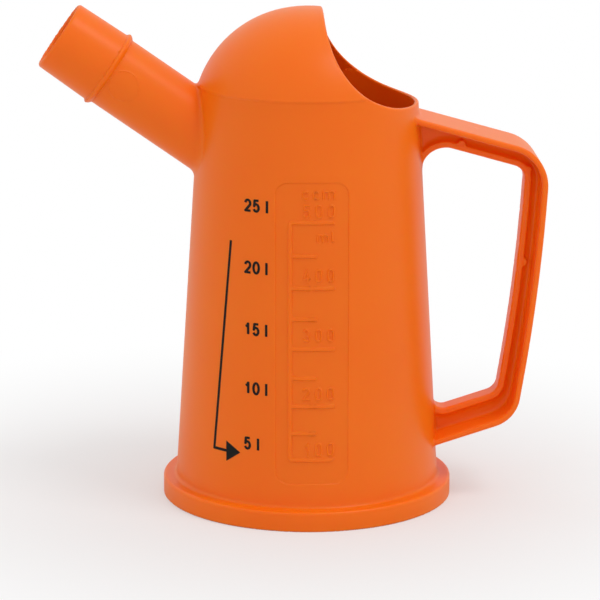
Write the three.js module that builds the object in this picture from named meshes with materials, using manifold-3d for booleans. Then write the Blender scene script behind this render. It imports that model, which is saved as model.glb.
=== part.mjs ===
// Fuel measuring jug in orange plastic, for mixing two-stroke fuel and oil.
// One moulding holds the flanged foot, the tapered wall, the domed hood with its filling
// opening, the pouring spout and the ribbed handle. A floor disc closes it from below.
// Millimetres, +Z up. The jug is built round its own axis, with the foot on z = 0, the spout
// towards -X and the handle towards +X. It is then centred in X over its footprint.

import * as THREE from 'three';
import { mergeVertices } from 'three/addons/utils/BufferGeometryUtils.js';
import Module from 'manifold-3d';

const wasm = await Module();
wasm.setup();

// Foot and wall
const footRadius = 49.4;
const footHeight = 6.7;
const footWall = 1.8;
const footEdgeRound = 0.9;
const footFillet = 1.2;
const wallRadiusAtFloor = 45.4;
const wallRadiusAtShoulder = 36.7;
const shoulderHeight = 141.9;
const wallThickness = 1.5;

// Floor disc
const floorHeight = 5.95;
const discThickness = 1.6;
const discClearance = 0.3;
const discSeatWidth = 1.8;

// Hood: a dome of one radius over the shoulder, stepped out a little from the wall
const shoulderStep = 0.45;
const hoodRadius = 37.8;
const hoodLean = THREE.MathUtils.degToRad(18.2);

// Filling opening: one round cut through the hood and the wall behind it, along Y
const openingRadius = 31.4;
const openingLip = 5.4;
const openingCentreReach = 36;

// Spout, along its own axis, which rises from the jug's axis
const spoutAxisHeight = 100.5;
const spoutRise = THREE.MathUtils.degToRad(34.9);
const spoutLength = 102;
const spoutRootRadius = 12.3;
const spoutCollarRadius = 12.8;
const spoutTipRadius = 12.35;
const spoutWall = 1.5;
const spoutLipRound = 1.2;
const spoutMouthFlare = 0.5;
const beadSetBack = 24.6;
const beadHeight = 1.1;
const beadHalfWidth = 1.1;

// Handle, in the jug's middle plane
const armHeight = 131;
const armStation = 40;
const armFall = THREE.MathUtils.degToRad(15.5);
const gripReachTop = 80.9;
const gripReachMiddle = 78.1;
const gripMiddleHeight = 73;
const gripReachBottom = 71;
const gripBottomHeight = 27.8;
const lowerArmRise = THREE.MathUtils.degToRad(18);
const armDepth = 7.8;
const gripDepth = 6.9;
const lowerArmDepth = 9;
const gripTopRound = 14.7;
const gripBowSpan = 30.7;
const gripBottomRound = 12;
const gapCornerRound = 5;
const armRootRound = 8.5;
const lowerRootRound = 4;
const rootReach = 27.525;
const flangeWidth = 26;
const flangeThickness = 2;
const beadStripWidth = 9;
const beadStripThickness = 2;
const webThickness = 3.4;
const padRadius = 1.5;
const padProud = 0.15;
const padInset = 4.9;
const padAlongArm = 13.3;
const padAlongCorner = 0.7;
const padAlongGrip = 38.4;

// Scale panel on the front: a shallow recess with a raised ruler
const panelCentre = -0.3;
const panelWidth = 24.2;
const panelBottom = 14.9;
const panelTop = 115.5;
const panelCornerRound = 4.5;
const panelDepth = 0.3;
const reliefHeight = 0.5;
const rulerLeft = -8.2;
const rulerBarWidth = 1.35;
const rulerLineHeight = 1.3;
const longMarkEnd = 7.25;
const shortMarkEnd = 1.3;
const rulerCornerRound = 2;
const firstMark = 100;
const lastMark = 500;
const markStep = 50;
const longMarkStep = 100;

// Fineness of the facets
const turnSegments = 84;
const spoutSegments = 48;
const roundSegments = 12;
const hoodSegments = 12;
const smallRoundSegments = 4;
const openingSegments = 72;
const padSegments = 20;

// How far a cut runs past the face that it opens
const overrun = 1;

const wallTaper = (wallRadiusAtFloor - wallRadiusAtShoulder) / shoulderHeight;
const wallRadius = (z) => wallRadiusAtFloor - wallTaper * z;
const boreRadius = (z) => wallRadius(z) - wallThickness;

// Height at which the tapered bore holds a volume in millilitres above the floor.
function fillHeight(millilitres) {
  const floorRadius = boreRadius(floorHeight);
  const cube = floorRadius ** 3 - (3 * wallTaper * millilitres * 1000) / Math.PI;
  return (boreRadius(0) - Math.cbrt(cube)) / wallTaper;
}

// Solids

function solidFrom(geometry) {
  geometry.deleteAttribute('normal');
  geometry.deleteAttribute('uv');
  const merged = mergeVertices(geometry, 1e-4);
  const index = merged.index.array;
  const kept = [];
  for (let i = 0; i < index.length; i += 3) {
    const [a, b, c] = [index[i], index[i + 1], index[i + 2]];
    if (a !== b && b !== c && c !== a) kept.push(a, b, c);
  }
  return new wasm.Manifold(new wasm.Mesh({
    numProp: 3,
    vertProperties: new Float32Array(merged.attributes.position.array),
    triVerts: new Uint32Array(kept),
  }));
}

// A turned solid about Z. The profile is a list of [radius, height] pairs that runs from the
// top of the axis down the outside and back to the axis.
function turned(profile, segments) {
  const points = profile.map(([r, z]) => new THREE.Vector2(r, z)).reverse();
  const geometry = new THREE.LatheGeometry(points, segments);
  return geometry.rotateX(Math.PI / 2);
}

// A solid with an outline in the X-Z plane, of a given width along Y about the middle plane.
function slab(outline, width) {
  const shape = new THREE.Shape(outline);
  const geometry = new THREE.ExtrudeGeometry(shape, { depth: width, bevelEnabled: false });
  geometry.rotateX(Math.PI / 2);
  geometry.translate(0, width / 2, 0);
  return solidFrom(geometry);
}

function meshFrom(solid, name, material) {
  const { vertProperties, triVerts } = solid.getMesh();
  const geometry = new THREE.BufferGeometry();
  geometry.setAttribute('position', new THREE.BufferAttribute(vertProperties, 3));
  geometry.setIndex(new THREE.BufferAttribute(triVerts, 1));
  geometry.computeVertexNormals();
  const mesh = new THREE.Mesh(geometry, material);
  mesh.name = name;
  return mesh;
}

// Outlines

// Points on an arc about a centre, as [x, y] pairs.
function arc(cx, cy, radius, from, to, segments = roundSegments) {
  const points = [];
  for (let i = 0; i <= segments; i += 1) {
    const angle = from + ((to - from) * i) / segments;
    points.push([cx + radius * Math.cos(angle), cy + radius * Math.sin(angle)]);
  }
  return points;
}

// Corners joined by straight lines, with a round of its own at each corner that has one.
function rounded(corners, rounds) {
  const points = [];
  corners.forEach((corner, i) => {
    const radius = rounds[i] ?? 0;
    if (radius === 0) {
      points.push(corner.clone());
      return;
    }
    const before = corners[(i + corners.length - 1) % corners.length];
    const after = corners[(i + 1) % corners.length];
    const back = before.clone().sub(corner).normalize();
    const ahead = after.clone().sub(corner).normalize();
    const half = Math.acos(THREE.MathUtils.clamp(back.dot(ahead), -1, 1)) / 2;
    const centre = back.clone().add(ahead).normalize().multiplyScalar(radius / Math.sin(half));
    centre.add(corner);
    const start = corner.clone().addScaledVector(back, radius / Math.tan(half)).sub(centre);
    const turn = Math.PI - 2 * half;
    const sign = Math.sign(ahead.cross(back));
    for (let k = 0; k <= roundSegments; k += 1) {
      const angle = (sign * turn * k) / roundSegments;
      const spoke = start.clone().rotateAround(new THREE.Vector2(), angle);
      points.push(spoke.add(centre));
    }
  });
  return points;
}

// Where two lines meet, each given by a point and a direction.
function crossing(p, u, q, v) {
  const t = q.clone().sub(p).cross(v) / u.cross(v);
  return p.clone().addScaledVector(u, t);
}

// Corners of a line moved sideways, each side by its own distance to the right of travel.
function moved(corners, distances, closed = false) {
  const count = corners.length;
  const sides = (closed ? corners : corners.slice(0, -1)).map((corner, i) => {
    const along = corners[(i + 1) % count].clone().sub(corner).normalize();
    const right = new THREE.Vector2(along.y, -along.x);
    return { along, from: corner.clone().addScaledVector(right, distances[i]) };
  });
  const meet = (a, b) => crossing(a.from, a.along, b.from, b.along);
  if (closed) return sides.map((side, i) => meet(sides[(i + count - 1) % count], side));
  const last = sides[sides.length - 1];
  const far = corners[count - 1].clone();
  far.addScaledVector(new THREE.Vector2(last.along.y, -last.along.x), distances[count - 2]);
  const inner = sides.slice(1).map((side, i) => meet(sides[i], side));
  return [sides[0].from.clone(), ...inner, far];
}

// Shell of foot, wall and hood

const hoodBase = wallRadiusAtShoulder + shoulderStep;
const hoodCentreRadius = hoodBase - hoodRadius * Math.cos(hoodLean);
const hoodCentreHeight = shoulderHeight - hoodRadius * Math.sin(hoodLean);
const hoodTop = hoodCentreHeight + hoodRadius;

function hoodArc(radius, from, to) {
  return arc(hoodCentreRadius, hoodCentreHeight, radius, from, to, hoodSegments);
}

// The space inside the jug, open at the foot.
function boreProfile() {
  const inner = hoodRadius - wallThickness;
  const lean = Math.asin((shoulderHeight - hoodCentreHeight) / inner);
  return [
    ...hoodArc(inner, Math.PI / 2, lean),
    [boreRadius(shoulderHeight - shoulderStep), shoulderHeight - shoulderStep],
    [boreRadius(footHeight - footWall), footHeight - footWall],
  ];
}

function shellProfile() {
  const rim = footRadius - footEdgeRound;
  const filletCentre = wallRadius(footHeight) + footFillet;
  return [
    [0, hoodTop],
    ...hoodArc(hoodRadius, Math.PI / 2, hoodLean),
    [wallRadius(shoulderHeight - shoulderStep), shoulderHeight - shoulderStep],
    ...arc(filletCentre, footHeight + footFillet, footFillet, Math.PI, 1.5 * Math.PI, smallRoundSegments),
    ...arc(rim, footHeight - footEdgeRound, footEdgeRound, Math.PI / 2, 0, smallRoundSegments),
    [footRadius, 0],
    [footRadius - footWall, 0],
    [footRadius - footWall, footHeight - footWall],
    ...boreProfile().reverse(),
    [0, hoodTop - wallThickness],
  ];
}

const bore = solidFrom(turned([
  [0, hoodTop - wallThickness],
  ...boreProfile(),
  [boreRadius(footHeight - footWall), -overrun],
  [0, -overrun],
], turnSegments));

function fillingOpening() {
  const height = shoulderHeight - openingLip + openingRadius;
  const outline = arc(openingCentreReach, height, openingRadius, 0, 2 * Math.PI, openingSegments);
  return slab(outline.slice(1).map(([x, z]) => new THREE.Vector2(x, z)), 2 * footRadius);
}

// Spout

function alongSpout(profile) {
  const geometry = turned(profile, spoutSegments);
  geometry.rotateY(spoutRise - Math.PI / 2);
  geometry.translate(0, 0, spoutAxisHeight);
  return solidFrom(geometry);
}

function spoutOutside() {
  const bead = spoutLength - beadSetBack;
  const beadProfile = arc(0, 0, 1, 0, Math.PI, smallRoundSegments).map(([along, up]) => {
    const base = along > 0 ? spoutCollarRadius : spoutRootRadius;
    return [base + beadHeight * up, bead + beadHalfWidth * along];
  });
  return alongSpout([
    [0, spoutLength],
    ...arc(spoutTipRadius - spoutLipRound, spoutLength - spoutLipRound, spoutLipRound,
      Math.PI / 2, 0, smallRoundSegments),
    ...beadProfile,
    [spoutRootRadius, spoutRootRadius],
    [0, spoutRootRadius],
  ]);
}

function spoutBore() {
  const boreEnd = spoutTipRadius - spoutWall;
  return alongSpout([
    [0, spoutLength + overrun],
    [boreEnd + spoutMouthFlare, spoutLength + overrun],
    [boreEnd + spoutMouthFlare, spoutLength],
    [boreEnd, spoutLength - 2 * spoutMouthFlare],
    [spoutRootRadius - spoutWall, spoutRootRadius],
    [0, spoutRootRadius],
  ]);
}

// Handle: a wide outer flange, a thin web and a narrower strip round the finger gap

const armRun = new THREE.Vector2(Math.cos(armFall), -Math.sin(armFall));
const lowerRun = new THREE.Vector2(-Math.cos(lowerArmRise), -Math.sin(lowerArmRise));
const armPoint = new THREE.Vector2(armStation, armHeight);
const gripTop = crossing(armPoint, armRun, new THREE.Vector2(gripReachTop, 0), new THREE.Vector2(0, 1));
const gripMiddle = new THREE.Vector2(gripReachMiddle, gripMiddleHeight);
const gripBottom = new THREE.Vector2(gripReachBottom, gripBottomHeight);

const handleCorners = [
  crossing(armPoint, armRun, new THREE.Vector2(rootReach, 0), new THREE.Vector2(0, 1)),
  gripTop,
  gripMiddle,
  gripBottom,
  crossing(gripBottom, lowerRun, new THREE.Vector2(rootReach, 0), new THREE.Vector2(0, 1)),
];

// The grip bows over a given span to each side of its middle corner, the third of the line.
function bowRadius(line) {
  const [before, middle, after] = line.slice(1, 4);
  const angle = before.clone().sub(middle).angleTo(after.clone().sub(middle));
  return gripBowSpan * Math.tan(angle / 2);
}

function handleLine(inset) {
  const line = moved(handleCorners, [inset, inset, inset, inset]);
  return rounded(line, [0, gripTopRound - inset, bowRadius(line), gripBottomRound - inset, 0]);
}

// The finger gap's corners, from the upper root round the grip to the lower root.
function gapCorners() {
  const inner = moved(handleCorners, [armDepth, gripDepth, gripDepth, lowerArmDepth]);
  const wallFoot = new THREE.Vector2(wallRadius(0) - wallThickness / 2, 0);
  const wallLine = new THREE.Vector2(-wallTaper, 1);
  return [
    crossing(inner[0], armRun, wallFoot, wallLine),
    ...inner.slice(1, 4),
    crossing(inner[3], lowerRun, wallFoot, wallLine),
  ];
}

function gapLine(outset) {
  const line = moved(gapCorners(), [-outset, -outset, -outset, -outset, -outset], true);
  return rounded(line, [
    armRootRound + outset,
    gapCornerRound + outset,
    bowRadius(line),
    gapCornerRound + outset,
    lowerRootRound + outset,
  ]);
}

function handleSolid() {
  const flange = slab([...handleLine(0), ...handleLine(flangeThickness).reverse()], flangeWidth);
  const web = slab(handleLine(flangeThickness / 2), webThickness);
  const strip = slab(gapLine(beadStripThickness), beadStripWidth);
  return web.add(strip).subtract(slab(gapLine(0), flangeWidth)).add(flange);
}

// Round pads left by the mould's pins on the near side of the web.
function handlePads() {
  const inward = (run) => new THREE.Vector2(run.y, -run.x).multiplyScalar(padInset);
  const gripRun = gripMiddle.clone().sub(gripTop).normalize();
  const centres = [
    armPoint.clone().addScaledVector(armRun, padAlongArm).add(inward(armRun)),
    handleLine(padInset)[Math.round(padAlongCorner * roundSegments)],
    gripTop.clone().addScaledVector(gripRun, padAlongGrip).add(inward(gripRun)),
  ];
  const height = beadStripWidth / 2 + padProud;
  return centres.map((centre) => {
    const geometry = new THREE.CylinderGeometry(padRadius, padRadius, height, padSegments);
    geometry.translate(centre.x, -height / 2, centre.y);
    return solidFrom(geometry);
  });
}

// Scale panel

// A cone a little larger or smaller than the wall, closed at both ends.
function wallCone(offset) {
  return solidFrom(turned([
    [0, shoulderHeight],
    [wallRadius(shoulderHeight) + offset, shoulderHeight],
    [wallRadius(footHeight + footFillet) + offset, footHeight + footFillet],
    [0, footHeight + footFillet],
  ], turnSegments));
}

function frontSlab(outline) {
  return slab(outline, 2 * footRadius).translate([0, -footRadius, 0]);
}

function panelOutline() {
  const left = panelCentre - panelWidth / 2;
  const right = panelCentre + panelWidth / 2;
  const corners = [[left, panelBottom], [right, panelBottom], [right, panelTop], [left, panelTop]];
  return rounded(
    corners.map(([x, z]) => new THREE.Vector2(x, z)),
    corners.map(() => panelCornerRound),
  );
}

// The ruler as one comb: a bar up the left side with a mark to the right at each step.
function rulerOutline() {
  const half = rulerLineHeight / 2;
  const barRight = rulerLeft + rulerBarWidth;
  const corners = [];
  for (let mark = firstMark; mark <= lastMark; mark += markStep) {
    const z = fillHeight(mark);
    const end = mark % longMarkStep === 0 ? longMarkEnd : shortMarkEnd;
    corners.push([mark === firstMark ? rulerLeft : barRight, z - half], [end, z - half], [end, z + half]);
    if (mark !== lastMark) corners.push([barRight, z + half]);
  }
  corners.push([rulerLeft, fillHeight(lastMark) + half]);
  const rounds = corners.map((_, i) => (i === corners.length - 1 ? rulerCornerRound : 0));
  return rounded(corners.map(([x, z]) => new THREE.Vector2(x, z)), rounds);
}

function withScalePanel(jug) {
  const recess = frontSlab(panelOutline()).subtract(wallCone(-panelDepth));
  const relief = wallCone(reliefHeight - panelDepth).subtract(wallCone(-2 * panelDepth));
  return jug.subtract(recess).add(frontSlab(rulerOutline()).intersect(relief));
}

// Pieces

function jugBody() {
  let shell = solidFrom(turned(shellProfile(), turnSegments)).subtract(fillingOpening());
  shell = withScalePanel(shell);
  let fitted = spoutOutside().add(handleSolid());
  for (const pad of handlePads()) fitted = fitted.add(pad);
  return shell.add(fitted.subtract(bore)).subtract(spoutBore());
}

function baseDisc() {
  const seat = footHeight - footWall;
  const spigot = boreRadius(floorHeight) - discClearance;
  const rim = footRadius - footWall - discClearance;
  const pan = spigot - discSeatWidth;
  return solidFrom(turned([
    [0, floorHeight],
    [spigot, floorHeight],
    [spigot, seat],
    [rim, seat],
    [rim, seat - discThickness],
    [pan, seat - discThickness],
    [pan, floorHeight - discThickness],
    [0, floorHeight - discThickness],
  ], turnSegments));
}

const orange = { color: 0xe06a14, roughness: 0.45, metalness: 0 };

const jug = new THREE.Group();
jug.add(meshFrom(jugBody(), 'jug_body', new THREE.MeshStandardMaterial(orange)));
jug.add(meshFrom(baseDisc(), 'base_disc', new THREE.MeshStandardMaterial(orange)));

// The origin is under the middle of the footprint.
const reach = new THREE.Box3().setFromObject(jug);
jug.position.x = -(reach.min.x + reach.max.x) / 2;

export default jug;
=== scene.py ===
import math

import bpy
import numpy as np
from mathutils import Matrix, Vector


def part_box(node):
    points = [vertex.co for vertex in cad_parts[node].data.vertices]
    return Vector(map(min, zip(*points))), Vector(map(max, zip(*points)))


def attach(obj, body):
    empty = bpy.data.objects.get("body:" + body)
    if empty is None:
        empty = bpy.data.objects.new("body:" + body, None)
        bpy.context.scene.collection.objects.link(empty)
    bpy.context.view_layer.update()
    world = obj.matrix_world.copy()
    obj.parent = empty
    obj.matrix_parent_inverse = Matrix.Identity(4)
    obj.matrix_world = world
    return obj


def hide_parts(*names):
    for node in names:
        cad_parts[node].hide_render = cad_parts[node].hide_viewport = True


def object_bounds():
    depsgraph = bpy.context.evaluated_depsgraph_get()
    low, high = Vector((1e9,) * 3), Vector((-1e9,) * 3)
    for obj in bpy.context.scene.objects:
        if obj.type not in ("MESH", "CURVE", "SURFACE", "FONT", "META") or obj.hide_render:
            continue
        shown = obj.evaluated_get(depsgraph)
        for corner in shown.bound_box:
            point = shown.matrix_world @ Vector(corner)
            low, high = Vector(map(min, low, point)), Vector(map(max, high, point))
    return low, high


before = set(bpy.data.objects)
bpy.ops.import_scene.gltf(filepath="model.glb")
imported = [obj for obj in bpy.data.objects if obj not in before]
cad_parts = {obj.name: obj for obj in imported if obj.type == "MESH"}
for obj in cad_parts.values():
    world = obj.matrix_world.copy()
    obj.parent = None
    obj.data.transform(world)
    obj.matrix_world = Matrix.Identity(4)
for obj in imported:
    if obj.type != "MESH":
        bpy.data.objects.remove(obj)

# The jug is built here in millimetres round its own axis, as the CAD source builds it, and is
# then moved along X into the row frame and scaled to metres. The spout points to -X, the
# handle to +X, and the scale is on the -Y side.

CAD_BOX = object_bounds()
MM = 0.001

# Foot and wall
FOOT_RADIUS = 49.4
FOOT_HEIGHT = 6.7
FOOT_WALL = 1.8
FOOT_EDGE_ROUND = 0.9
FOOT_FILLET = 1.2
SOLE_ROUND = 0.3
WALL_RADIUS_AT_FLOOR = 45.4
WALL_RADIUS_AT_SHOULDER = 36.7
SHOULDER_HEIGHT = 141.9
WALL_THICKNESS = 1.5
FLOOR_HEIGHT = 5.95

# Hood and filling opening
SHOULDER_STEP = 0.45
HOOD_RADIUS = 37.8
HOOD_LEAN = math.radians(18.2)
SHOULDER_ROUND = 0.1
LEDGE_ROUND = 0.3
HOOD_FILLET = 0.15
OPENING_RADIUS = 31.4
OPENING_CENTRE = (36.0, 167.9)
RIM_ROUND = 0.62
SHELL_ROUND = 0.12

# Spout
SPOUT_AXIS_HEIGHT = 100.5
SPOUT_RISE = math.radians(34.9)
SPOUT_LENGTH = 102
SPOUT_ROOT_RADIUS = 12.3
SPOUT_COLLAR_RADIUS = 12.8
SPOUT_TIP_RADIUS = 12.35
SPOUT_WALL = 1.5
SPOUT_LIP_ROUND = 1.2
SPOUT_MOUTH_FLARE = 0.5
FLARE_DEPTH = 1
BORE_FILLET = 0.6
COLLAR_BLEND = 0.8
SPOUT_FILLET = 1.6
BEAD_STATION = 81.6
BEAD_HEIGHT = 0.95
BEAD_HALF_WIDTH = 1.05
RING_CENTRE = (-61.83, 143.35)
RING_RADIUS = 5.0
RING_HEIGHT = 0.12
RING_HALF_WIDTH = 0.24

# Handle, in the middle plane, as (x, z)
ARM_POINT = np.array([40.0, 131.0])
ARM_FALL = math.radians(15.5)
GRIP_REACH_TOP = 80.9
GRIP_MIDDLE = np.array([78.1, 73.0])
GRIP_BOTTOM = np.array([71.0, 27.8])
LOWER_ARM_RISE = math.radians(18)
ROOT_DEPTH = 27.525
DEPTHS = (7.8, 6.9, 6.9, 9.0)
GRIP_TOP_ROUND = 14.7
GRIP_BOW = 640
GRIP_BOTTOM_ROUND = 12
GAP_CORNER_ROUND = 5
ARM_ROOT_ROUND = 8.5
LOWER_ROOT_ROUND = 4
FLANGE_WIDTH = 26
FLANGE_THICKNESS = 2
FLANGE_ROUND = 0.75
FLANGE_FILLET = 1.2
STRIP_WIDTH = 9
STRIP_THICKNESS = 2
STRIP_ROUND = 0.5
STRIP_FILLET = 2.2
WEB_THICKNESS = 4.6
PAD_CENTRES = ((51.5, 122.0), (74.1, 113.0), (73.2, 81.2))
PAD_RADIUS = 1.4
PAD_FACE = 4.56
PAD_ROUND = 0.25
PAD_FILLET = 0.6
HANDLE_FILLET = 1.0
ROOT_MARGIN = 3

# Scale panel on the front
PANEL_LEFT, PANEL_RIGHT = -12.4, 11.8
PANEL_BOTTOM, PANEL_TOP = 14.9, 115.5
PANEL_CORNER_ROUND = 4.5
PANEL_DEPTH = 0.3
RELIEF_HEIGHT = 0.42
RULER_LEFT = -8.2
RULER_BAR_WIDTH = 1.35
RULER_LINE_HEIGHT = 1.3
LONG_MARK_END = 7.25
SHORT_MARK_END = 1.3
RULER_CORNER_ROUND = 1.6
STROKE = 0.56
DETAIL_REACH = 1.2

GRID_STEP = 0.8
DECIMATE_RATIO = 0.1
REFINE_LEVELS = 6
FINEST_EDGE = 0.225
NET_LOW, NET_HIGH = (-93, -52, -2.5), (83, 52, 170.5)
FAR = 9.0

# An edge is split where the surface turns more than this over more than this length.
BENT, BENT_EDGE = math.cos(math.radians(17)), 1.3
SHARP, SHARP_EDGE = math.cos(math.radians(32)), 0.8
RELIEF_BENT, RELIEF_EDGE = math.cos(math.radians(16)), 0.4
PANEL_REACH = 14
# It is also split when longer than these shares of the edge wanted at its middle and at its ends.
LONG_MIDDLE, LONG_END = 1.5, 4.5

WALL_TAPER = (WALL_RADIUS_AT_FLOOR - WALL_RADIUS_AT_SHOULDER) / SHOULDER_HEIGHT
WALL_COSINE = math.cos(math.atan(WALL_TAPER))
HOOD_BASE = WALL_RADIUS_AT_SHOULDER + SHOULDER_STEP
HOOD_CENTRE_RADIUS = HOOD_BASE - HOOD_RADIUS * math.cos(HOOD_LEAN)
HOOD_CENTRE_HEIGHT = SHOULDER_HEIGHT - HOOD_RADIUS * math.sin(HOOD_LEAN)
STEP_HEIGHT = SHOULDER_HEIGHT - SHOULDER_STEP

# The CAD model is centred over its box, so its axis lies a little to the +X side.
AXIS_SHIFT = (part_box("base_disc")[0].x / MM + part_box("base_disc")[1].x / MM) / 2


def wall_radius(z):
    return WALL_RADIUS_AT_FLOOR - WALL_TAPER * z


def fill_height(millilitres):
    """Height at which the tapered bore holds a volume above the floor."""
    floor_radius = wall_radius(FLOOR_HEIGHT) - WALL_THICKNESS
    cube = floor_radius**3 - 3 * WALL_TAPER * millilitres * 1000 / math.pi
    return (wall_radius(0) - WALL_THICKNESS - cube ** (1 / 3)) / WALL_TAPER


# Distances: negative inside, positive outside, in millimetres.


def join(a, b, radius):
    """Either solid, with a concave round of this radius between them."""
    u = np.maximum(radius - a, 0)
    v = np.maximum(radius - b, 0)
    return np.maximum(radius, np.minimum(a, b)) - np.hypot(u, v)


def both(a, b, radius):
    """What two solids share, with a convex round of this radius on the edge."""
    u = np.maximum(radius + a, 0)
    v = np.maximum(radius + b, 0)
    return np.minimum(-radius, np.maximum(a, b)) + np.hypot(u, v)


def smooth(x, low, high):
    t = np.clip((x - low) / (high - low), 0, 1)
    return t * t * (3 - 2 * t)


def round_box(x, y, left, right, bottom, top, radius):
    u = np.abs(x - (left + right) / 2) - (right - left) / 2 + radius
    v = np.abs(y - (bottom + top) / 2) - (top - bottom) / 2 + radius
    return np.minimum(np.maximum(u, v), 0) + np.hypot(np.maximum(u, 0), np.maximum(v, 0)) - radius


class Outline:
    """A closed outline in a plane, with a round of its own at each corner, walked clockwise."""

    def __init__(self, corners, rounds):
        corners = [np.array(c, float) for c in corners]
        self.arcs, starts, ends = [], [], []
        for i, corner in enumerate(corners):
            back = corners[i - 1] - corner
            ahead = corners[(i + 1) % len(corners)] - corner
            back /= np.linalg.norm(back)
            ahead /= np.linalg.norm(ahead)
            if rounds[i] == 0:
                starts.append(corner)
                ends.append(corner)
                continue
            half = math.acos(np.clip(back @ ahead, -1, 1)) / 2
            middle = (back + ahead) / np.linalg.norm(back + ahead)
            centre = corner + middle * rounds[i] / math.sin(half)
            starts.append(corner + back * rounds[i] / math.tan(half))
            ends.append(corner + ahead * rounds[i] / math.tan(half))
            turn = ahead[0] * back[1] - ahead[1] * back[0]
            self.arcs.append((centre, rounds[i], -middle, math.sin(half), np.sign(turn)))
        self.lines = []
        for i, start in enumerate(ends):
            run = starts[(i + 1) % len(corners)] - start
            length = np.linalg.norm(run)
            self.lines.append((start, run / length, length))

    def distance(self, x, z):
        best = np.full(x.shape, 1e6, x.dtype)
        for start, run, length in self.lines:
            u, v = x - start[0], z - start[1]
            along = np.clip(u * run[0] + v * run[1], 0, length)
            away = np.hypot(u - along * run[0], v - along * run[1])
            side = np.where(run[0] * v - run[1] * u >= 0, away, -away)
            best = np.where(np.abs(side) < np.abs(best), side, best)
        for centre, radius, middle, reach, turn in self.arcs:
            u, v = x - centre[0], z - centre[1]
            away = np.hypot(u, v)
            fits = (u * middle[0] + v * middle[1]) > away * reach
            side = -turn * (away - radius)
            best = np.where(fits & (np.abs(side) < np.abs(best)), side, best)
        return best


def crossing(p, u, q, v):
    d = q - p
    t = (d[0] * v[1] - d[1] * v[0]) / (u[0] * v[1] - u[1] * v[0])
    return p + u * t


def moved(corners, distances):
    """An open run of corners, each side moved to the right of travel by its own distance."""
    sides = []
    for a, b, distance in zip(corners, corners[1:], distances):
        along = (b - a) / np.linalg.norm(b - a)
        sides.append((a + distance * np.array([along[1], -along[0]]), along))
    inner = [crossing(*s, *t) for s, t in zip(sides, sides[1:])]
    end = sides[-1][1]
    return [sides[0][0], *inner, corners[-1] + distances[-1] * np.array([end[1], -end[0]])]


def handle_outlines():
    """The handle's outside, and the finger gap."""
    arm_run = np.array([math.cos(ARM_FALL), -math.sin(ARM_FALL)])
    lower_run = np.array([-math.cos(LOWER_ARM_RISE), -math.sin(LOWER_ARM_RISE)])
    up = np.array([0.0, 1.0])
    corners = [
        crossing(ARM_POINT, arm_run, np.array([ROOT_DEPTH, 0.0]), up),
        crossing(ARM_POINT, arm_run, np.array([GRIP_REACH_TOP, 0.0]), up),
        GRIP_MIDDLE,
        GRIP_BOTTOM,
        crossing(GRIP_BOTTOM, lower_run, np.array([ROOT_DEPTH, 0.0]), up),
    ]
    outside = Outline(corners, [0, GRIP_TOP_ROUND, GRIP_BOW, GRIP_BOTTOM_ROUND, 0])
    inner = moved(corners, DEPTHS)
    wall_foot = np.array([wall_radius(0) - WALL_THICKNESS / 2, 0.0])
    wall_line = np.array([-WALL_TAPER, 1.0])
    gap = Outline(
        [
            crossing(inner[0], arm_run, wall_foot, wall_line),
            *inner[1:4],
            crossing(inner[3], lower_run, wall_foot, wall_line),
        ],
        [ARM_ROOT_ROUND, GAP_CORNER_ROUND, GRIP_BOW - DEPTHS[1], GAP_CORNER_ROUND, LOWER_ROOT_ROUND],
    )
    return outside, gap


HANDLE_OUTSIDE, FINGER_GAP = handle_outlines()


# Raised numerals: strokes in a unit box, drawn as rounded lines


def bend(cx, cy, rx, ry, start, end, count=9):
    angles = np.radians(np.linspace(start, end, count))
    return [(cx + rx * math.cos(a), cy + ry * math.sin(a)) for a in angles]


GLYPHS = {
    "0": [bend(0.5, 0.77, 0.5, 0.23, 0, 180) + bend(0.5, 0.23, 0.5, 0.23, 180, 360) + [(1, 0.77)]],
    "1": [[(0.0, 0.76), (0.6, 1.0), (0.6, 0.0)]],
    "2": [bend(0.5, 0.75, 0.5, 0.25, 165, -28) + [(0.0, 0.0), (1.0, 0.0)]],
    "3": [bend(0.46, 0.765, 0.46, 0.235, 150, -80) + bend(0.48, 0.265, 0.52, 0.265, 75, -150)],
    "4": [[(0.6, 1.0), (0.0, 0.25), (1.0, 0.25)], [(0.72, 0.5), (0.72, 0.0)]],
    "5": [[(0.95, 1.0), (0.14, 1.0), (0.06, 0.56)] + bend(0.46, 0.32, 0.52, 0.32, 130, -145)],
    "c": [bend(0.5, 0.5, 0.5, 0.5, 48, 312, 13)],
    "m": [
        [(0.0, 0.0), (0.0, 1.0)],
        bend(0.25, 0.72, 0.25, 0.28, 180, 0) + [(0.5, 0.0)],
        bend(0.75, 0.72, 0.25, 0.28, 180, 0) + [(1.0, 0.0)],
    ],
    "l": [[(0.15, 1.0), (0.15, 0.2), (0.45, 0.0), (1.0, 0.05)]],
}

# Each raised word: (glyph, left, right) for its outer edges, with the heights of its foot and top.
RAISED_WORDS = [
    (109.9, 112.9, [("c", -3.8, -1.2), ("c", -0.3, 2.3), ("m", 3.1, 7.3)]),
    (104.0, 108.3, [("5", -3.35, -0.95), ("0", 0.75, 3.15), ("0", 4.8, 7.15)]),
    (95.9, 98.7, [("m", 1.25, 5.2)]),
    (95.9, 99.65, [("l", 5.9, 7.2)]),
    (82.7, 87.1, [("4", -3.4, -0.9), ("0", 0.7, 3.0), ("0", 4.65, 6.95)]),
    (62.9, 67.2, [("3", -3.4, -0.95), ("0", 0.7, 3.05), ("0", 4.65, 7.0)]),
    (43.3, 47.6, [("2", -3.5, -0.95), ("0", 0.7, 3.05), ("0", 4.65, 7.0)]),
    (24.5, 29.0, [("1", -2.4, -0.9), ("0", 0.7, 3.05), ("0", 4.65, 7.05)]),
]


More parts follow.
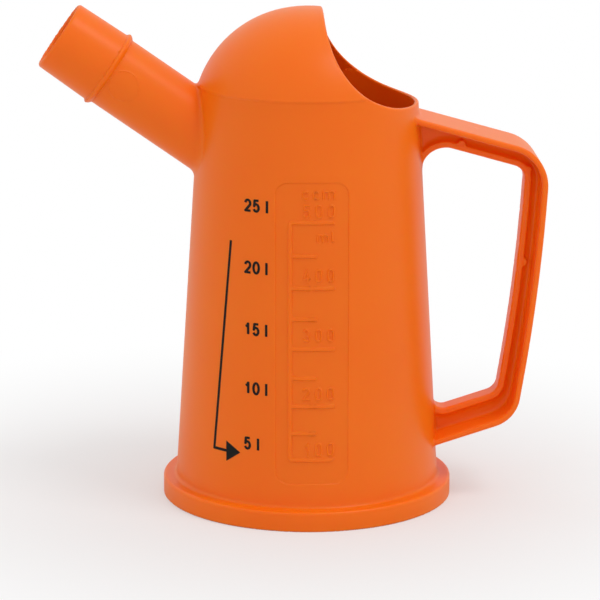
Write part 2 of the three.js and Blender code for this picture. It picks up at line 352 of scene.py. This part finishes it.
def raised_lines():
    """Every raised glyph as (box, list of line ends)."""
    half = STROKE / 2
    glyphs = []
    for foot, top, word in RAISED_WORDS:
        for name, left, right in word:
            ends = []
            for stroke in GLYPHS[name]:
                points = [
                    (left + half + u * (right - left - STROKE), foot + half + v * (top - foot - STROKE))
                    for u, v in stroke
                ]
                ends += list(zip(points, points[1:]))
            glyphs.append(((left, right, foot, top), ends))
    return glyphs


RAISED = raised_lines()


def ruler_boxes():
    half = RULER_LINE_HEIGHT / 2
    low, high = fill_height(100) - half, fill_height(500) + half
    boxes = [(RULER_LEFT, RULER_LEFT + RULER_BAR_WIDTH, low, high)]
    for mark in range(100, 501, 50):
        end = SHORT_MARK_END if mark % 100 else LONG_MARK_END
        boxes.append((RULER_LEFT, end, fill_height(mark) - half, fill_height(mark) + half))
    return boxes, (RULER_LEFT, LONG_MARK_END, low, high)


RULER_BOXES, RULER_REACH = ruler_boxes()


def relief_distance(x, z):
    """Distance in the X-Z plane to the ruler and the raised numerals."""
    best = np.full(x.shape, FAR)
    for box in RULER_BOXES:
        best = np.minimum(best, round_box(x, z, *box, 0.45))
    best = np.maximum(best, round_box(x, z, *RULER_REACH, RULER_CORNER_ROUND))
    for (left, right, foot, top), ends in RAISED:
        near = np.nonzero((x > left - 2) & (x < right + 2) & (z > foot - 2) & (z < top + 2))[0]
        if not len(near):
            continue
        px, pz, closest = x[near], z[near], np.full(len(near), FAR)
        for (ax, az), (bx, bz) in ends:
            ux, uz = bx - ax, bz - az
            t = np.clip(((px - ax) * ux + (pz - az) * uz) / (ux * ux + uz * uz), 0, 1)
            closest = np.minimum(closest, np.hypot(px - ax - t * ux, pz - az - t * uz))
        best[near] = np.minimum(best[near], closest - STROKE / 2)
    return best


def front_detail(x, z):
    """How far the wall is raised, and how close the nearest drawn edge is."""
    rise = np.zeros(x.shape)
    near = np.full(x.shape, FAR)
    inside = np.nonzero((np.abs(x) < 15) & (z > 12) & (z < 118))[0]
    px, pz = x[inside], z[inside]
    panel = round_box(px, pz, PANEL_LEFT, PANEL_RIGHT, PANEL_BOTTOM, PANEL_TOP, PANEL_CORNER_ROUND)
    relief = relief_distance(px, pz)
    rise[inside] = RELIEF_HEIGHT * smooth(-relief, -0.1, 0.18) - PANEL_DEPTH * smooth(-panel, -0.12, 0.2)
    near[inside] = np.minimum(np.abs(panel) + 0.12, np.abs(relief + 0.05))
    return rise, near


def spout_place(x, y, z):
    """How far along the spout's axis and away from it each point lies."""
    up = z - SPOUT_AXIS_HEIGHT
    along = up * math.sin(SPOUT_RISE) - x * math.cos(SPOUT_RISE)
    return along, np.hypot(y, x * math.sin(SPOUT_RISE) + up * math.cos(SPOUT_RISE))


def body_distance(points, detail=True):
    """The whole moulding as one distance."""
    x, y, z = points.T
    r = np.hypot(x, y)
    wall = (r - wall_radius(z)) * WALL_COSINE
    if detail:
        front = np.nonzero((y < 0) & (np.abs(wall) < DETAIL_REACH))[0]
        wall = wall.copy()
        wall[front] -= front_detail(x[front], z[front])[0]
    wall = both(wall, z - SHOULDER_HEIGHT, SHOULDER_ROUND)
    hood = np.hypot(np.maximum(r - HOOD_CENTRE_RADIUS, 0), z - HOOD_CENTRE_HEIGHT) - HOOD_RADIUS
    ledge = ((r - WALL_RADIUS_AT_SHOULDER) - (z - STEP_HEIGHT)) * math.sqrt(0.5)
    hood = both(hood, ledge, LEDGE_ROUND)
    foot = both(r - FOOT_RADIUS, z - FOOT_HEIGHT, FOOT_EDGE_ROUND)
    outside = join(join(wall, foot, FOOT_FILLET), hood, HOOD_FILLET)

    along, across = spout_place(x, y, z)
    collar = SPOUT_COLLAR_RADIUS + (along - BEAD_STATION) / (SPOUT_LENGTH - BEAD_STATION) * (
        SPOUT_TIP_RADIUS - SPOUT_COLLAR_RADIUS
    )
    past = smooth(along, BEAD_STATION - COLLAR_BLEND, BEAD_STATION + COLLAR_BLEND)
    girth = SPOUT_ROOT_RADIUS + past * (collar - SPOUT_ROOT_RADIUS)
    bead = np.clip((along - BEAD_STATION) / BEAD_HALF_WIDTH, -1, 1)
    girth = girth + BEAD_HEIGHT * np.sqrt(1 - bead**2)
    if detail:
        ring = np.abs(np.hypot(x - RING_CENTRE[0], z - RING_CENTRE[1]) - RING_RADIUS)
        girth = girth + np.where(y < 0, RING_HEIGHT * (1 - smooth(ring, 0, RING_HALF_WIDTH)), 0)
    spout = both(across - girth, along - SPOUT_LENGTH, SPOUT_LIP_ROUND)
    spout = np.maximum(spout, SPOUT_ROOT_RADIUS - along)
    outside = join(outside, spout, SPOUT_FILLET)

    level, gap = HANDLE_OUTSIDE.distance(x, z), FINGER_GAP.distance(x, z)
    flange = round_box(-level, y, 0, FLANGE_THICKNESS, -FLANGE_WIDTH / 2, FLANGE_WIDTH / 2, FLANGE_ROUND)
    strip = round_box(gap, y, 0, STRIP_THICKNESS, -STRIP_WIDTH / 2, STRIP_WIDTH / 2, STRIP_ROUND)
    web = np.maximum(np.abs(y) - WEB_THICKNESS / 2, np.maximum(level + 1, 1 - gap))
    handle = join(join(web, flange, FLANGE_FILLET), strip, STRIP_FILLET)
    for cx, cz in PAD_CENTRES:
        pad = both(np.hypot(x - cx, z - cz) - PAD_RADIUS, -y - PAD_FACE, PAD_ROUND)
        handle = join(handle, np.maximum(pad, y), PAD_FILLET)
    handle = np.maximum(handle, ROOT_DEPTH + ROOT_MARGIN - x)
    outside = join(outside, handle, HANDLE_FILLET)

    cone = np.maximum((r - wall_radius(z) + WALL_THICKNESS) * WALL_COSINE, z - SHOULDER_HEIGHT)
    vault = np.hypot(np.maximum(r - HOOD_CENTRE_RADIUS, 0), z - HOOD_CENTRE_HEIGHT)
    vault = np.maximum(vault - HOOD_RADIUS + WALL_THICKNESS, ledge + WALL_THICKNESS * math.sqrt(0.5))
    seat = np.maximum(r - FOOT_RADIUS + FOOT_WALL, z - FOOT_HEIGHT + FOOT_WALL)
    inside = np.minimum(np.minimum(cone, vault), seat)
    flare = smooth(along, SPOUT_LENGTH - FLARE_DEPTH, SPOUT_LENGTH)
    mouth = SPOUT_TIP_RADIUS - SPOUT_WALL + SPOUT_MOUTH_FLARE * flare
    passage = np.maximum(across - mouth, SPOUT_ROOT_RADIUS - along)
    inside = join(inside, passage, BORE_FILLET)

    solid = both(outside, -inside, SHELL_ROUND)
    cut = OPENING_RADIUS - np.hypot(x - OPENING_CENTRE[0], z - OPENING_CENTRE[1])
    solid = both(solid, cut, RIM_ROUND)
    return both(solid, -z, SOLE_ROUND)


def in_parts(function, points, size=200000):
    return np.concatenate([function(points[i : i + size]) for i in range(0, len(points), size)])


def slopes(points, reach=0.02):
    steps = np.eye(3) * reach
    return np.stack(
        [in_parts(body_distance, points + s) - in_parts(body_distance, points - s) for s in steps], axis=1
    ) / (2 * reach)


def settle(points, rounds=4):
    """Points moved onto the surface, and the surface's normals there."""
    for _ in range(rounds):
        slope = slopes(points)
        size = np.maximum((slope**2).sum(1), 0.05)
        shift = in_parts(body_distance, points) / size
        points = points - np.clip(shift, -0.6, 0.6)[:, None] * slope
    slope = slopes(points)
    return points, slope / np.maximum(np.linalg.norm(slope, axis=1), 1e-6)[:, None]


# Surface of a sampled distance


def surface_net(low, high, step):
    axes = [np.arange(a, b + step, step) for a, b in zip(low, high)]
    shape = tuple(len(a) for a in axes)
    grid = np.stack(np.meshgrid(*axes, indexing="ij"), -1).reshape(-1, 3)
    field = in_parts(lambda p: body_distance(p, False), grid, 400000).reshape(shape)
    filled = field < 0
    cells = tuple(n - 1 for n in shape)
    offsets = [(i, j, k) for i in (0, 1) for j in (0, 1) for k in (0, 1)]
    count = sum(
        filled[i : i + cells[0], j : j + cells[1], k : k + cells[2]].astype(np.int8) for i, j, k in offsets
    )
    active = np.argwhere((count > 0) & (count < 8))
    values = np.stack([field[tuple((active + o).T)] for o in offsets], 1)
    total, hits = np.zeros((len(active), 3)), np.zeros(len(active))
    for a, start in enumerate(offsets):
        for b, end in enumerate(offsets):
            if sum(e - s for s, e in zip(start, end)) != 1 or any(e < s for s, e in zip(start, end)):
                continue
            crosses = (values[:, a] < 0) != (values[:, b] < 0)
            t = values[crosses, a] / (values[crosses, a] - values[crosses, b])
            total[crosses] += np.array(start) + t[:, None] * (np.array(end) - np.array(start))
            hits[crosses] += 1
    points = (active + total / hits[:, None]) * step + np.array(low)
    number = np.full(cells, -1, np.int32)
    number[tuple(active.T)] = np.arange(len(active))
    faces = []
    for axis in range(3):
        u, v = (axis + 1) % 3, (axis + 2) % 3
        ahead = [slice(None)] * 3
        behind = [slice(None)] * 3
        ahead[axis], behind[axis] = slice(1, None), slice(None, -1)
        first, second = filled[tuple(behind)], filled[tuple(ahead)]
        edges = np.argwhere(first != second)
        leaves = first[tuple(edges.T)]
        fits = (edges[:, u] > 0) & (edges[:, v] > 0) & (edges[:, u] < cells[u]) & (edges[:, v] < cells[v])
        edges, leaves = edges[fits], leaves[fits]
        ring = []
        for du, dv in ((1, 1), (0, 1), (0, 0), (1, 0)):
            cell = edges.copy()
            cell[:, u] -= du
            cell[:, v] -= dv
            ring.append(number[tuple(cell.T)])
        ring = np.stack(ring, 1)
        ring[~leaves] = ring[~leaves][:, ::-1]
        faces.append(ring)
    return points, np.concatenate(faces)


def thinned(points, faces, ratio):
    """The mesh with fewer triangles, by Blender's own collapse."""
    mesh = bpy.data.meshes.new("net")
    mesh.from_pydata(points.tolist(), [], faces.tolist())
    piece = bpy.data.objects.new("net", mesh)
    bpy.context.scene.collection.objects.link(piece)
    piece.modifiers.new("thin", "DECIMATE").ratio = ratio
    made = bpy.data.meshes.new_from_object(piece.evaluated_get(bpy.context.evaluated_depsgraph_get()))
    made.calc_loop_triangles()
    co = np.empty(len(made.vertices) * 3)
    made.vertices.foreach_get("co", co)
    tri = np.empty(len(made.loop_triangles) * 3, np.int32)
    made.loop_triangles.foreach_get("vertices", tri)
    bpy.data.objects.remove(piece)
    bpy.data.meshes.remove(mesh)
    bpy.data.meshes.remove(made)
    return co.reshape(-1, 3), tri.reshape(-1, 3)


def wanted_edge(points):
    """The longest edge allowed at each point: short at a detail, longer with the distance from it."""
    x, y, z = points.T
    want = np.full(len(points), 6.0)
    r = np.hypot(x, y)
    front = np.nonzero((y < 0) & (np.abs(r - wall_radius(z)) < 0.8))[0]
    near = front_detail(x[front], z[front])[1]
    want[front] = np.minimum(want[front], FINEST_EDGE + 0.4 * near + 0.8 * np.maximum(near - 0.5, 0))
    ring = np.abs(np.hypot(x - RING_CENTRE[0], z - RING_CENTRE[1]) - RING_RADIUS)
    want = np.where((y < -10) & (x < -50), np.minimum(want, 0.2 + 0.9 * ring), want)
    along, across = spout_place(x, y, z)
    lip = np.hypot(along - SPOUT_LENGTH, across - SPOUT_TIP_RADIUS + SPOUT_WALL / 2)
    want = np.minimum(want, 0.35 + 0.6 * lip)
    bead = 0.5 * np.abs(along - BEAD_STATION) + np.abs(across - SPOUT_ROOT_RADIUS - 0.8)
    want = np.minimum(want, 0.45 + bead)
    crease = np.hypot(r - HOOD_BASE, z - STEP_HEIGHT)
    return np.minimum(want, 0.45 + 0.9 * crease)


def refined(points, normals, tris):
    """Edges split where the surface turns or a detail is near, with the new points settled."""
    sides = np.concatenate([tris[:, [0, 1]], tris[:, [1, 2]], tris[:, [2, 0]]])
    sides.sort(axis=1)
    edges, which = np.unique(sides, axis=0, return_inverse=True)
    which = which.reshape(3, -1).T
    a, b = points[edges[:, 0]], points[edges[:, 1]]
    length = np.linalg.norm(a - b, axis=1)
    middle = (a + b) / 2
    turn = (normals[edges[:, 0]] * normals[edges[:, 1]]).sum(1)
    split = (turn < BENT) & (length > BENT_EDGE)
    split |= length > LONG_MIDDLE * wanted_edge(middle)
    split |= (turn < SHARP) & (length > SHARP_EDGE)
    on_panel = (np.abs(middle[:, 0]) < PANEL_REACH) & (middle[:, 1] < -20) & (middle[:, 2] > 14)
    split |= (turn < RELIEF_BENT) & (length > RELIEF_EDGE) & on_panel
    split |= length > LONG_END * np.minimum(wanted_edge(a), wanted_edge(b))
    split &= length > FINEST_EDGE * 1.2
    chosen = np.nonzero(split)[0]
    middle, slope = settle((a[chosen] + b[chosen]) / 2)
    fresh = np.full(len(edges), -1)
    fresh[chosen] = len(points) + np.arange(len(chosen))
    points, normals = np.concatenate([points, middle]), np.concatenate([normals, slope])
    m = fresh[which]
    count = (m >= 0).sum(1)
    out = [tris[count == 0]]
    for first in range(3):
        v = np.roll(tris, -first, 1)
        n = np.roll(m, -first, 1)
        one = (count == 1) & (n[:, 0] >= 0)
        out.append(np.stack([v[one, 0], n[one, 0], v[one, 2]], 1))
        out.append(np.stack([n[one, 0], v[one, 1], v[one, 2]], 1))
        two = (count == 2) & (n[:, 0] >= 0) & (n[:, 1] >= 0)
        v2, n2 = v[two], n[two]
        out.append(np.stack([n2[:, 0], v2[:, 1], n2[:, 1]], 1))
        short = np.linalg.norm(points[v2[:, 0]] - points[n2[:, 1]], axis=1) < np.linalg.norm(
            points[n2[:, 0]] - points[v2[:, 2]], axis=1
        )
        s, t = v2[short], n2[short]
        out += [np.stack([s[:, 0], t[:, 0], t[:, 1]], 1), np.stack([s[:, 0], t[:, 1], s[:, 2]], 1)]
        s, t = v2[~short], n2[~short]
        out += [np.stack([s[:, 0], t[:, 0], s[:, 2]], 1), np.stack([t[:, 0], t[:, 1], s[:, 2]], 1)]
    all_three = count == 3
    v, n = tris[all_three], m[all_three]
    out += [
        np.stack([v[:, 0], n[:, 0], n[:, 2]], 1),
        np.stack([n[:, 0], v[:, 1], n[:, 1]], 1),
        np.stack([n[:, 2], n[:, 1], v[:, 2]], 1),
        n,
    ]
    return points, normals, np.concatenate(out)


def mesh_piece(name, points, tris, normals=None):
    """A piece in the row frame, from points in the jug's own millimetres."""
    placed = (points + np.array([AXIS_SHIFT, 0, 0])) * MM
    low, high = np.array(CAD_BOX[0]), np.array(CAD_BOX[1])
    # The smooth rounds may stand a hair outside the box of the faceted solids.
    placed = np.clip(placed, low, high)
    mesh = bpy.data.meshes.new(name)
    mesh.from_pydata(placed.tolist(), [], [list(map(int, face)) for face in tris])
    mesh.validate()
    mesh.shade_smooth()
    if normals is not None:
        mesh.normals_split_custom_set_from_vertices(normals.tolist())
    piece = bpy.data.objects.new(name, mesh)
    bpy.context.scene.collection.objects.link(piece)
    return piece


def jug_mesh():
    points, faces = surface_net(NET_LOW, NET_HIGH, GRID_STEP)
    points, tris = thinned(points, faces, DECIMATE_RATIO)
    points, normals = settle(points)
    for _ in range(REFINE_LEVELS):
        points, normals, tris = refined(points, normals, tris)
    return mesh_piece("jug", points, tris, normals)


# Materials


def material(name):
    made = bpy.data.materials.new(name)
    made.use_nodes = True
    return made, made.node_tree.nodes, made.node_tree.links, made.node_tree.nodes["Principled BSDF"]


def orange_plastic():
    made, nodes, links, shader = material("orange_plastic")
    shader.inputs["Roughness"].default_value = 0.37
    shader.inputs["Specular IOR Level"].default_value = 0.24
    shader.inputs["Subsurface Weight"].default_value = 0.6
    shader.inputs["Subsurface Radius"].default_value = (1.0, 0.45, 0.1)
    shader.inputs["Subsurface Scale"].default_value = 0.0018
    place = nodes.new("ShaderNodeTexCoord")
    cloud = nodes.new("ShaderNodeTexNoise")
    cloud.inputs["Scale"].default_value = 28
    cloud.inputs["Detail"].default_value = 2
    tint = nodes.new("ShaderNodeValToRGB")
    tint.color_ramp.elements[0].position = 0.3
    tint.color_ramp.elements[0].color = (0.92, 0.163, 0.003, 1)
    tint.color_ramp.elements[1].position = 0.7
    tint.color_ramp.elements[1].color = (0.94, 0.176, 0.004, 1)
    links.new(place.outputs["Object"], cloud.inputs["Vector"])
    links.new(cloud.outputs["Fac"], tint.inputs["Fac"])
    links.new(tint.outputs["Color"], shader.inputs["Base Color"])
    grain = nodes.new("ShaderNodeTexNoise")
    grain.inputs["Scale"].default_value = 1500
    grain.inputs["Detail"].default_value = 3
    bump = nodes.new("ShaderNodeBump")
    bump.inputs["Strength"].default_value = 0.12
    bump.inputs["Distance"].default_value = 0.0001
    links.new(place.outputs["Object"], grain.inputs["Vector"])
    links.new(grain.outputs["Fac"], bump.inputs["Height"])
    links.new(bump.outputs["Normal"], shader.inputs["Normal"])
    return made


def floor_plastic():
    made, nodes, links, shader = material("floor_plastic")
    shader.inputs["Roughness"].default_value = 0.4
    place = nodes.new("ShaderNodeTexCoord")
    cloud = nodes.new("ShaderNodeTexNoise")
    cloud.inputs["Scale"].default_value = 40
    tint = nodes.new("ShaderNodeValToRGB")
    tint.color_ramp.elements[0].color = (0.70, 0.10, 0.006, 1)
    tint.color_ramp.elements[1].color = (0.76, 0.12, 0.008, 1)
    links.new(place.outputs["Object"], cloud.inputs["Vector"])
    links.new(cloud.outputs["Fac"], tint.inputs["Fac"])
    links.new(tint.outputs["Color"], shader.inputs["Base Color"])
    return made


def black_print():
    made, nodes, links, shader = material("black_print")
    place = nodes.new("ShaderNodeTexCoord")
    cloud = nodes.new("ShaderNodeTexNoise")
    cloud.inputs["Scale"].default_value = 900
    tint = nodes.new("ShaderNodeValToRGB")
    tint.color_ramp.elements[0].color = (0.006, 0.007, 0.007, 1)
    tint.color_ramp.elements[1].color = (0.016, 0.016, 0.015, 1)
    links.new(place.outputs["Object"], cloud.inputs["Vector"])
    links.new(cloud.outputs["Fac"], tint.inputs["Fac"])
    links.new(tint.outputs["Color"], shader.inputs["Base Color"])
    shader.inputs["Roughness"].default_value = 0.6
    shader.inputs["Specular IOR Level"].default_value = 0.1
    return made


# Print on the wall: flat shapes drawn in (x, z) and laid on the cone

PRINT_LIFT = 0.03
PRINT_STROKE = 0.8
PRINT_GRID = 0.11
DIGIT_WIDTH = 2.5
DIGIT_PITCH = 2.72
PRINT_HEIGHT = 4.4
OVAL = [bend(0.5, 0.5, 0.5, 0.5, 0, 360, 25)]
PRINT_GLYPHS = {
    "0": OVAL,
    "1": [[(0.12, 0.72), (0.4, 0.77), (0.6, 0.98), (0.6, 0.0)], [(0.6, 0.9), (0.6, 1.06)]],
    "2": [bend(0.5, 0.7, 0.46, 0.3, 172, -30) + [(0.04, 0.02), (1.04, 0.02)]],
    "5": [[(0.96, 1.0), (0.2, 1.0), (0.1, 0.48)] + bend(0.48, 0.33, 0.48, 0.34, 128, -160)],
    "l": [[(0.0, -0.07), (0.0, 1.05)]],
}
# Each printed word: its digits, their left edge, the place of the unit and the height of the foot.
PRINT_WORDS = [
    ("25", -22.45, -15.03, 104.95),
    ("20", -22.5, -15.2, 84.5),
    ("15", -22.6, -15.3, 63.95),
    ("10", -22.6, -15.3, 44.15),
    ("5", -22.7, -18.0, 25.45),
]
LINE_TOP, LINE_FOOT = (-26.69, 94.74), (-32.37, 23.5)
LINE_WIDTH = 0.72
ARROW_SHAFT = [(-32.6, 23.9), (-28.2, 23.9)]
ARROW_WIDTH = 0.95
ARROW_HEAD = [(-28.42, 27.3), (-23.81, 24.05), (-28.42, 20.34)]


def ribbon(x, z, lines, width):
    """Distance to lines of this width with flat ends and round bends."""
    best = np.full(x.shape, FAR)
    for line in lines:
        for (ax, az), (bx, bz) in zip(line, line[1:]):
            ux, uz = bx - ax, bz - az
            length = math.hypot(ux, uz)
            along = ((x - ax) * ux + (z - az) * uz) / length
            off = np.abs((z - az) * ux - (x - ax) * uz) / length
            best = np.minimum(best, np.maximum(np.abs(along - length / 2) - length / 2, off - width / 2))
        for jx, jz in line[1:-1]:
            best = np.minimum(best, np.hypot(x - jx, z - jz) - width / 2)
    return best


def wedge(x, z, corners):
    """Distance to a triangle walked clockwise."""
    best = np.full(x.shape, -FAR)
    for (ax, az), (bx, bz) in zip(corners, corners[1:] + corners[:1]):
        length = math.hypot(bx - ax, bz - az)
        best = np.maximum(best, ((z - az) * (bx - ax) - (x - ax) * (bz - az)) / length)
    return best


def filled(field, xs, zs):
    """Points and polygons of the part of a grid where the field is negative."""
    points, found, polygons = [], {}, []

    def point(key, place):
        if key not in found:
            found[key] = len(points)
            points.append(place)
        return found[key]

    for i, j in np.argwhere(
        np.minimum.reduce([field[:-1, :-1], field[1:, :-1], field[1:, 1:], field[:-1, 1:]]) < 0
    ):
        ring = [(i, j), (i + 1, j), (i + 1, j + 1), (i, j + 1)]
        polygon = []
        for a, b in zip(ring, ring[1:] + ring[:1]):
            fa, fb = field[a], field[b]
            if fa < 0:
                polygon.append(point(a, (xs[a[0]], zs[a[1]])))
            if (fa < 0) != (fb < 0):
                t = fa / (fa - fb)
                place = (xs[a[0]] + t * (xs[b[0]] - xs[a[0]]), zs[a[1]] + t * (zs[b[1]] - zs[a[1]]))
                polygon.append(point(tuple(sorted((a, b))), place))
        if len(polygon) > 2:
            polygons.append(polygon)
    return points, polygons


def print_shapes():
    """Every printed shape as (box, its distance)."""
    shapes = []
    inset = PRINT_STROKE / 2

    def add_lines(lines, width):
        xs, zs = zip(*[p for line in lines for p in line])
        box = (min(xs) - width, max(xs) + width, min(zs) - width, max(zs) + width)
        shapes.append((box, lambda x, z: ribbon(x, z, lines, width)))

    for digits, left, unit, foot in PRINT_WORDS:
        glyphs = [(d, left + i * DIGIT_PITCH, DIGIT_WIDTH) for i, d in enumerate(digits)]
        glyphs.append(("l", unit - inset, PRINT_STROKE))
        for name, start, width in glyphs:
            lines = [
                [
                    (
                        start + inset + u * (width - PRINT_STROKE),
                        foot + inset + v * (PRINT_HEIGHT - PRINT_STROKE),
                    )
                    for u, v in line
                ]
                for line in PRINT_GLYPHS[name]
            ]
            add_lines(lines, PRINT_STROKE)
    add_lines([[LINE_TOP, LINE_FOOT]], LINE_WIDTH)
    add_lines([ARROW_SHAFT], ARROW_WIDTH)
    box = (ARROW_HEAD[0][0] - 1, ARROW_HEAD[1][0] + 1, ARROW_HEAD[2][1] - 1, ARROW_HEAD[0][1] + 1)
    shapes.append((box, lambda x, z: wedge(x, z, ARROW_HEAD)))
    return shapes


def on_wall(x, z, lift):
    """Points of the front wall over (x, z), lifted off it."""
    r = wall_radius(z) + lift
    return np.stack([x, -np.sqrt(r * r - x * x), z], -1)


def print_piece():
    points, polygons = [], []
    for (left, right, foot, top), distance in print_shapes():
        xs = np.arange(left, right, PRINT_GRID)
        zs = np.arange(foot, top, PRINT_GRID)
        field = distance(*np.meshgrid(xs, zs, indexing="ij"))
        found, made = filled(field, xs, zs)
        polygons += [[i + len(points) for i in polygon] for polygon in made]
        points += found
    flat = np.array(points)
    placed = on_wall(flat[:, 0], flat[:, 1], PRINT_LIFT)
    normals = placed * np.array([1, 1, 0])
    normals[:, 2] = np.hypot(placed[:, 0], placed[:, 1]) * WALL_TAPER
    normals /= np.linalg.norm(normals, axis=1)[:, None]
    return mesh_piece("volume_print", placed, polygons, normals)


# Camera, at the photograph's place

CAMERA_TURN = -0.042
CAMERA_ELEVATION = 0.2338
CAMERA_DISTANCE = 1045.35
CAMERA_ROLL = 0.0039
CAMERA_AIM = (-2.574, 67.30)
FOCAL_PIXELS = 3060.45
FRAME_PIXELS = 600
SENSOR = 36


def make_camera():
    a, e, roll = CAMERA_TURN, CAMERA_ELEVATION, CAMERA_ROLL
    back = Vector((math.sin(a) * math.cos(e), -math.cos(a) * math.cos(e), math.sin(e)))
    level = Vector((math.cos(a), math.sin(a), 0))
    up = back.cross(level)
    right = math.cos(roll) * level + math.sin(roll) * up
    up = math.cos(roll) * up - math.sin(roll) * level
    place = Vector((0, 0, CAMERA_AIM[1])) + CAMERA_AIM[0] * level + CAMERA_DISTANCE * back
    place += Vector((AXIS_SHIFT, 0, 0))
    camera = bpy.data.objects.new("camera", bpy.data.cameras.new("camera"))
    bpy.context.scene.collection.objects.link(camera)
    camera.data.sensor_width = SENSOR
    camera.data.lens = SENSOR * FOCAL_PIXELS / FRAME_PIXELS
    turn = Matrix((right, up, back)).transposed().to_4x4()
    camera.matrix_world = Matrix.Translation(place * MM) @ turn
    camera.data.clip_start, camera.data.clip_end = 0.05, 20
    bpy.context.scene.camera = camera


def lamp(name, place, size, watts, colour=(1, 1, 1), aim=(0, 0, 0.08)):
    light = bpy.data.lights.new(name, "AREA")
    light.shape = "RECTANGLE"
    light.size, light.size_y = size
    light.energy = watts
    light.color = colour
    made = bpy.data.objects.new(name, light)
    bpy.context.scene.collection.objects.link(made)
    made.location = place
    made.rotation_mode = "QUATERNION"
    made.rotation_quaternion = (Vector(place) - Vector(aim)).to_track_quat("Z", "Y")
    return made


def make_world():
    world = bpy.data.worlds.new("studio")
    bpy.context.scene.world = world
    world.use_nodes = True
    nodes, links = world.node_tree.nodes, world.node_tree.links
    nodes.clear()
    out = nodes.new("ShaderNodeOutputWorld")
    mix = nodes.new("ShaderNodeMixShader")
    soft, white = nodes.new("ShaderNodeBackground"), nodes.new("ShaderNodeBackground")
    soft.inputs["Color"].default_value = (1, 1, 1, 1)
    soft.inputs["Strength"].default_value = 0.85
    white.inputs["Color"].default_value = (1, 1, 1, 1)
    white.inputs["Strength"].default_value = 1
    path = nodes.new("ShaderNodeLightPath")
    links.new(path.outputs["Is Camera Ray"], mix.inputs["Fac"])
    links.new(soft.outputs[0], mix.inputs[1])
    links.new(white.outputs[0], mix.inputs[2])
    links.new(mix.outputs[0], out.inputs["Surface"])


def make_floor():
    mesh = bpy.data.meshes.new("floor")
    mesh.from_pydata([(-6, -6, 0), (6, -6, 0), (6, 6, 0), (-6, 6, 0)], [], [[0, 1, 2, 3]])
    floor = bpy.data.objects.new("floor", mesh)
    bpy.context.scene.collection.objects.link(floor)
    made, nodes, links, shader = material("floor")
    shader.inputs["Base Color"].default_value = (0.8, 0.8, 0.8, 1)
    shader.inputs["Roughness"].default_value = 0.9
    shader.inputs["Specular IOR Level"].default_value = 0.1
    glow = nodes.new("ShaderNodeEmission")
    glow.inputs["Color"].default_value = (1, 1, 1, 1)
    place = nodes.new("ShaderNodeTexCoord")
    length = nodes.new("ShaderNodeVectorMath")
    length.operation = "LENGTH"
    ramp = nodes.new("ShaderNodeMapRange")
    ramp.interpolation_type = "SMOOTHSTEP"
    ramp.inputs["From Min"].default_value = 0.06
    ramp.inputs["From Max"].default_value = 0.22
    ramp.inputs["To Min"].default_value = 0.35
    path = nodes.new("ShaderNodeLightPath")
    seen = nodes.new("ShaderNodeMath")
    seen.operation = "MULTIPLY"
    mix = nodes.new("ShaderNodeMixShader")
    out = nodes["Material Output"]
    links.new(place.outputs["Object"], length.inputs[0])
    links.new(length.outputs["Value"], ramp.inputs["Value"])
    links.new(ramp.outputs["Result"], seen.inputs[0])
    links.new(path.outputs["Is Camera Ray"], seen.inputs[1])
    links.new(seen.outputs["Value"], mix.inputs["Fac"])
    links.new(shader.outputs["BSDF"], mix.inputs[1])
    links.new(glow.outputs["Emission"], mix.inputs[2])
    links.new(mix.outputs["Shader"], out.inputs["Surface"])
    mesh.materials.append(made)


make_camera()
make_world()
make_floor()
lamp("top", (0.48, -0.3, 1.1), (0.34, 0.34), 2.7)

jug = jug_mesh()
jug.data.materials.append(orange_plastic())
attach(jug, "root")
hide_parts("jug_body")

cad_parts["base_disc"].data.materials.clear()
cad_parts["base_disc"].data.materials.append(floor_plastic())

ink = print_piece()
ink.data.materials.append(black_print())
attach(ink, "root")

view = bpy.context.scene.view_settings
view.view_transform = "Standard"
